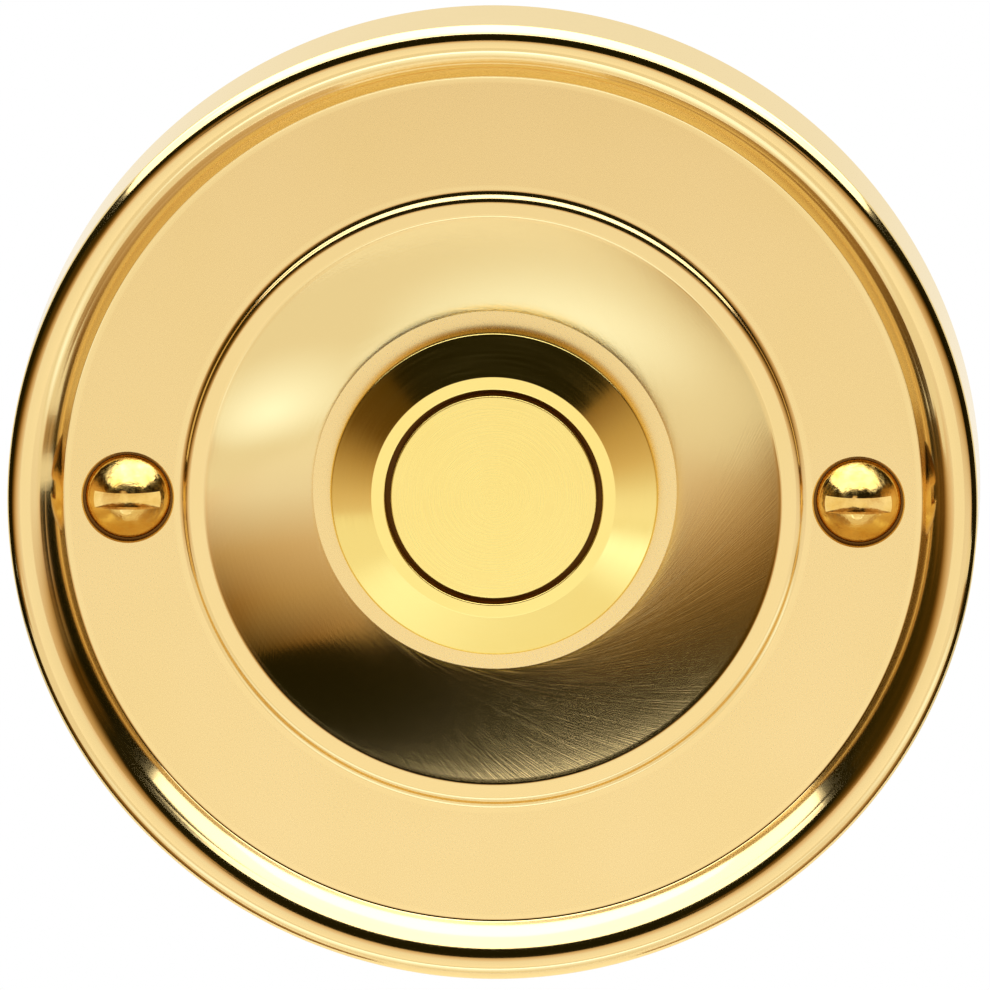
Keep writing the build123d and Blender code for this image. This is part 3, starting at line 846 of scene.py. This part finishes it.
def worn_head(tree, place):
    """How far wear has raised or lowered a screw's head, in metres."""
    square = maths(tree, "POWER", maths(tree, "DIVIDE", about_screw(tree, place), MM), 2.0)
    worn = times(tree, square, maths(tree, "SUBTRACT", square, 2 * SCREW_CROWN**2))
    return times(tree, worn, SCREW_WEAR * MM)


# Finishes


def plate_finish():
    """Polished brass: satin face, hand-polished bowl, bright lip and rim, and a back left as cast."""
    material, tree, shader, place = new_finish("plate_brass", Metallic=1.0, Specular_Tint=PLATE_EDGE)
    radius = about_axis(tree, place)[1]
    facing = parts_of(tree, add(tree, "ShaderNodeTexCoord").outputs["Normal"])
    cast = spread(tree, facing["Y"], 0.0, 1.0, *CAST_FACING)
    bowl = ring_mask(tree, radius, *BOWL_POLISHED)
    lip = ring_mask(tree, radius, *LIP_POLISHED)
    rim = spread(tree, radius, 0.0, 1.0, *in_metres(*RIM_POLISHED))
    tint = mottle(tree, grain(tree, place, PLATE_CLOUDS), NOISE, PLATE_BRASS, PLATE_WARM)
    tint = blend_colours(tree, bowl, tint, BOWL_BRASS)
    tint = blend_colours(tree, cast, tint, CAST_BRASS)
    # painted shadow at the bottom of the screw recesses
    tint = blend_colours(tree, recess_shadow(tree, place), tint, RECESS_PAINTED_SHADOW)
    tree.links.new(tint, shader.inputs["Base Color"])
    parts = parts_of(tree, place)
    side = spread(tree, parts["X"], BRUSHED_LEAST, 1.0, *in_metres(*BRUSHED_FROM), kind="SMOOTHSTEP")
    low = spread(tree, parts["Z"], 1.0, BRUSHED_LEAST, *in_metres(*BRUSHED_LOW), kind="SMOOTHSTEP")
    satin = grain(tree, place, SATIN_GRAINS, FINE_DETAIL)
    rough = spread(tree, satin, *PLATE_ROUGH, *NOISE)
    bowl_rough = spread(tree, side, *BOWL_ROUGH, BRUSHED_LEAST, 1.0)
    for mask, level in ((bowl, bowl_rough), (lip, LIP_ROUGH), (rim, RIM_ROUGH), (cast, CAST_ROUGH)):
        rough = blend_values(tree, mask, rough, level)
    tree.links.new(rough, shader.inputs["Roughness"])
    brushed = times(tree, bowl, times(tree, side, low))
    strokes = times(tree, times(tree, swirl_marks(tree, place), brushed), STROKE_DEPTH)
    pits = times(tree, grain(tree, place, CAST_GRAINS, FINEST_DETAIL), times(tree, cast, CAST_DEPTH))
    height = maths(tree, "ADD", strokes, times(tree, satin, SATIN_DEPTH))
    height = maths(tree, "SUBTRACT", height, eased_slope(tree, radius))
    raise_surface(tree, shader, maths(tree, "ADD", height, pits))
    return material


def turned_brass(name, colour, deeper, rough, mark_depth, shaded_gap=False):
    """Bright brass straight from the lathe, with fine rings in it."""
    material, tree, shader, place = new_finish(name, Metallic=1.0, Specular_Tint=TURNED_EDGE)
    tint = mottle(tree, grain(tree, place, TURNED_CLOUDS), NOISE, colour, deeper)
    # painted shade down in the gap round the button
    if shaded_gap:
        tint = blend_colours(tree, gap_shade(tree, place), tint, GAP_PAINTED_SHADE)
    tree.links.new(tint, shader.inputs["Base Color"])
    marks = lathe_marks(tree, place)
    level = spread(tree, marks, rough - TURNED_VARIES, rough + TURNED_VARIES, *NOISE)
    tree.links.new(level, shader.inputs["Roughness"])
    raise_surface(tree, shader, marks, mark_depth)
    return material


def screw_finish():
    """Deep gold brass, a little battered by the driver, with painted shade darkening the half that faces
    down.
    """
    material, tree, shader, place = new_finish("screw_brass", Metallic=1.0)
    tint = mottle(tree, grain(tree, place, SCREW_CLOUDS), NOISE_CORE, SCREW_BRASS, SCREW_DEEP)
    facing = parts_of(tree, add(tree, "ShaderNodeTexCoord").outputs["Normal"])
    # painted shade: a darker colour where the surface faces down
    tint = blend_colours(tree, spread(tree, facing["Z"], 1.0, 0.0, *SCREW_SHADE_FACING), tint, SCREW_PAINTED_SHADE)
    tree.links.new(tint, shader.inputs["Base Color"])
    dents = grain(tree, place, SCREW_DENTS, FINE_DETAIL)
    tree.links.new(spread(tree, dents, *SCREW_ROUGH, *NOISE), shader.inputs["Roughness"])
    height = maths(tree, "ADD", times(tree, dents, SCREW_DENT_DEPTH), worn_head(tree, place))
    raise_surface(tree, shader, height)
    return material


def plain_metal(name, colour, dark, rough):
    """Plated, drawn or stamped metal with fine wear."""
    material, tree, shader, place = new_finish(name, Metallic=1.0)
    wear = grain(tree, place, METAL_WEAR, FINEST_DETAIL)
    tree.links.new(mottle(tree, wear, NOISE_CORE, colour, dark), shader.inputs["Base Color"])
    level = spread(tree, wear, *(rough + change for change in METAL_VARIES), *NOISE)
    tree.links.new(level, shader.inputs["Roughness"])
    raise_surface(tree, shader, wear, METAL_WEAR_DEPTH)
    return material


def moulding(name, colour, dark, rough):
    """A moulded or punched insulator with a fine skin."""
    material, tree, shader, place = new_finish(name)
    clouds = grain(tree, place, MOULDING_CLOUDS)
    tree.links.new(mottle(tree, clouds, NOISE, colour, dark), shader.inputs["Base Color"])
    skin = grain(tree, place, MOULDING_SKIN, FINE_DETAIL)
    level = spread(tree, skin, *(rough + change for change in MOULDING_VARIES), *NOISE)
    tree.links.new(level, shader.inputs["Roughness"])
    raise_surface(tree, shader, skin, MOULDING_SKIN_DEPTH)
    return material


def all_finishes():
    """The finish of each material slot."""
    finishes = {
        "plate_brass": plate_finish(),
        "ferrule_brass": turned_brass(
            "ferrule_brass", FERRULE_BRASS, FERRULE_WARM, FERRULE_ROUGH, FERRULE_MARKS, shaded_gap=True
        ),
        "button_brass": turned_brass(
            "button_brass", BUTTON_BRASS, BUTTON_WARM, BUTTON_ROUGH, BUTTON_MARKS, shaded_gap=True
        ),
        "screw_brass": screw_finish(),
        "nut_brass": turned_brass("nut_brass", NUT_BRASS, NUT_WARM, NUT_ROUGH, NUT_MARKS),
    }
    finishes.update({slot: plain_metal(slot, *look) for slot, look in METALS.items()})
    finishes.update({slot: moulding(slot, *look) for slot, look in MOULDINGS.items()})
    return finishes


# Studio


def heading(azimuth, elevation):
    """The direction from the object at this azimuth, 0 towards the front, and elevation, in radians."""
    level = math.cos(elevation)
    return Vector((math.sin(azimuth) * level, -math.cos(azimuth) * level, math.sin(elevation)))


def make_camera():
    """A long lens at the photograph's angle, which keeps its framing."""
    data = bpy.data.cameras.new("camera")
    data.sensor_width = SENSOR
    data.lens = SENSOR * VIEW_DISTANCE * PHOTO_SCALE / PHOTO_SIDE
    camera = link("camera", data)
    direction = heading(VIEW_AZIMUTH, VIEW_ELEVATION)
    turn = (-direction).to_track_quat("-Z", "Y")
    shift = turn @ Vector((*FRAME_SHIFT, 0.0)) / PHOTO_SCALE
    camera.location = (Vector((0.0, -FACE_HEIGHT, 0.0)) + shift + direction * VIEW_DISTANCE) * MM
    camera.rotation_euler = turn.to_euler()
    bpy.context.scene.camera = camera


def overhead_softbox():
    """A large area lamp above the object, which shines straight down."""
    width, depth = OVERHEAD_SIZE
    data = bpy.data.lights.new("overhead_softbox", "AREA")
    data.shape = "RECTANGLE"
    data.size = width
    data.size_y = depth
    data.energy = OVERHEAD_RADIANCE * math.pi * width * depth
    lamp = link("overhead_softbox", data)
    lamp.location = OVERHEAD_PLACE
    lamp.visible_camera = False


def glow(name, strength):
    """A shader that shines white at this strength."""
    material = bpy.data.materials.new(name)
    material.use_nodes = True
    tree = material.node_tree
    tree.nodes.clear()
    light = add(tree, "ShaderNodeEmission", {"Color": (1.0, 1.0, 1.0, 1.0), "Strength": strength})
    out = add(tree, "ShaderNodeOutputMaterial")
    tree.links.new(light.outputs["Emission"], out.inputs["Surface"])
    return material


def only_reflected(piece):
    """The piece belongs to the studio and shows only in reflections."""
    piece.visible_camera = False
    piece.visible_diffuse = False
    piece.visible_shadow = False


def card_colour(level):
    """The colour of a studio card at this level: white when bright, brown between, neutral when dark."""
    red = min(FLAG_RED, max(0.0, FLAG_RED_FALL * (FLAG_RED_END - level)))
    red *= level**2 / (level**2 + FLAG_RED_START)
    blue = level * min(1.0, level) ** FLAG_BLUE_FALL
    return level + red, level, blue, 1.0


def toned(name, columns):
    """A sheet of light through columns of (place, level), which only reflections see."""
    mesh = bmesh.new()
    tone = mesh.verts.layers.float_color.new("tone")
    corners = [[mesh.verts.new(place) for place, _ in column] for column in columns]
    for row, column in zip(corners, columns):
        for corner, (_, level) in zip(row, column):
            corner[tone] = card_colour(level)
    for here, there in zip(corners, corners[1:]):
        for i in range(len(here) - 1):
            mesh.faces.new((here[i], there[i], there[i + 1], here[i + 1]))
    piece = to_object(name, mesh)
    material = glow(name, 1.0)
    tree = material.node_tree
    colour = add(tree, "ShaderNodeAttribute", attribute_name="tone").outputs["Color"]
    tree.links.new(colour, tree.nodes["Emission"].inputs["Color"])
    piece.data.materials.append(material)
    only_reflected(piece)


def flag(name, distance, columns):
    """A curved studio flag. Each column is its azimuth and then (elevation, level) upwards, in degrees."""
    sheet = []
    for azimuth, *marks in columns:
        turn = math.radians(azimuth)
        sheet.append([(heading(turn, math.radians(el)) * distance, level) for el, level in marks])
    toned(name, sheet)


def graded(elevations, rows):
    """Columns of a flag from rows of an azimuth and the levels at these elevations."""
    return [(azimuth, *zip(elevations, levels)) for azimuth, *levels in rows]


def make_flags():
    """The dark room in front of the object, and the flags and shades beside it."""
    dark_room = [(azimuth, (low, level), (high, level)) for azimuth, low, high, level in DARK_ROOM]
    left_flag = [(-azimuth, *(LEFT_SHARE * level for level in levels)) for azimuth, *levels in SIDE_FLAG]
    flag("dark_room", DARK_DISTANCE, dark_room)
    flag("right_flag", SIDE_DISTANCE, graded(SIDE_ELEVATIONS, SIDE_FLAG))
    flag("left_flag", SIDE_DISTANCE, graded(SIDE_ELEVATIONS, left_flag))
    flag("right_shade", SHADE_DISTANCE, graded(RIGHT_ELEVATIONS, RIGHT_SHADE))
    flag("left_shade", SHADE_DISTANCE, graded(LEFT_ELEVATIONS, LEFT_SHADE))


def front_panel():
    """A white panel close before the object, below the camera, which darkens upwards."""
    sides = [[((x, -PANEL_DISTANCE, z), level) for z, level in PANEL_LEVELS] for x in PANEL_SIDES]
    toned("front_panel", sides)


def table_card():
    """A white card that lies low before the object, with soft pools of light on it."""
    mesh = bmesh.new()
    (left, right), (front, back) = TABLE_SIDES, TABLE_ENDS
    corners = ((left, front), (right, front), (right, back), (left, back))
    mesh.faces.new([mesh.verts.new((x, y, TABLE_LEVEL)) for x, y in corners])
    piece = to_object("table_card", mesh)
    material = glow("table_card", TABLE_STRENGTH)
    tree = material.node_tree
    place = add(tree, "ShaderNodeTexCoord").outputs["Object"]
    lit = 0.0
    for (x, y), (width, depth), share in POOLS:
        offset = vectors(tree, "SUBTRACT", {0: place, 1: (x, y, TABLE_LEVEL)})["Vector"]
        scaled = vectors(tree, "DIVIDE", {0: offset, 1: (width, depth, 1.0)})["Vector"]
        reach = vectors(tree, "LENGTH", {0: scaled})["Value"]
        lit = maths(tree, "MAXIMUM", lit, spread(tree, reach, share, 0.0, *POOL_FADE))
    tree.links.new(blend_colours(tree, lit, TABLE_TONE, POOL_TONE), tree.nodes["Emission"].inputs["Color"])
    piece.data.materials.append(material)
    only_reflected(piece)


def make_floor():
    """A pale round floor below the object."""
    mesh = bmesh.new()
    bmesh.ops.create_circle(mesh, cap_ends=True, segments=FLOOR_SEGMENTS, radius=FLOOR_RADIUS)
    floor = to_object("floor", mesh)
    floor.location = (0.0, 0.0, FLOOR_LEVEL)
    material, tree, shader, place = new_finish("floor_paper", Roughness=FLOOR_ROUGH)
    tint = mottle(tree, grain(tree, place, FLOOR_CLOUDS), NOISE, FLOOR_PALE, FLOOR_SHADE)
    tree.links.new(tint, shader.inputs["Base Color"])
    floor.data.materials.append(material)


def make_world():
    """A white surround, which the camera and the reflections see at full strength."""
    world = bpy.data.worlds.new("studio")
    bpy.context.scene.world = world
    world.use_nodes = True
    tree = world.node_tree
    path = add(tree, "ShaderNodeLightPath")
    seen = maths(tree, "MAXIMUM", path.outputs["Is Camera Ray"], path.outputs["Is Glossy Ray"])
    seen = maths(tree, "MAXIMUM", seen, path.outputs["Is Transmission Ray"])
    surround = tree.nodes["Background"]
    surround.inputs["Color"].default_value = (1.0, 1.0, 1.0, 1.0)
    tree.links.new(spread(tree, seen, FILL_LEVEL, 1.0), surround.inputs["Strength"])


# The part in its finishes, with finer meshes in place of six of its solids

FINISHES = all_finishes()
for part in frame["record"]["subparts"]:
    solid = frame["nodes"][part["node"]]
    solid.data.materials.clear()
    solid.data.materials.append(FINISHES[part["material_slot"]])


def dress(piece, body, node, slot):
    """The piece takes the place of a CAD node, on its body and with its finish."""
    piece.data.materials.clear()
    piece.data.materials.append(FINISHES[slot])
    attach(piece, body)
    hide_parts(node)


dress(make_plate(), "housing", "rose_plate", "plate_brass")
dress(make_ferrule(), "housing", "ferrule", "ferrule_brass")
dress(make_button(), "button", "push_button", "button_brass")
for side, sign in (("left", -1), ("right", 1)):
    dress(make_fixing_screw(side, sign), "housing", f"fixing_screw_{side}", "screw_brass")
spring = make_spring()
dress(spring, "housing", "return_spring", "spring_steel")
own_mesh(spring)

make_camera()
make_world()
make_floor()
overhead_softbox()
front_panel()
table_card()
make_flags()
bpy.context.scene.view_settings.view_transform = "Standard"
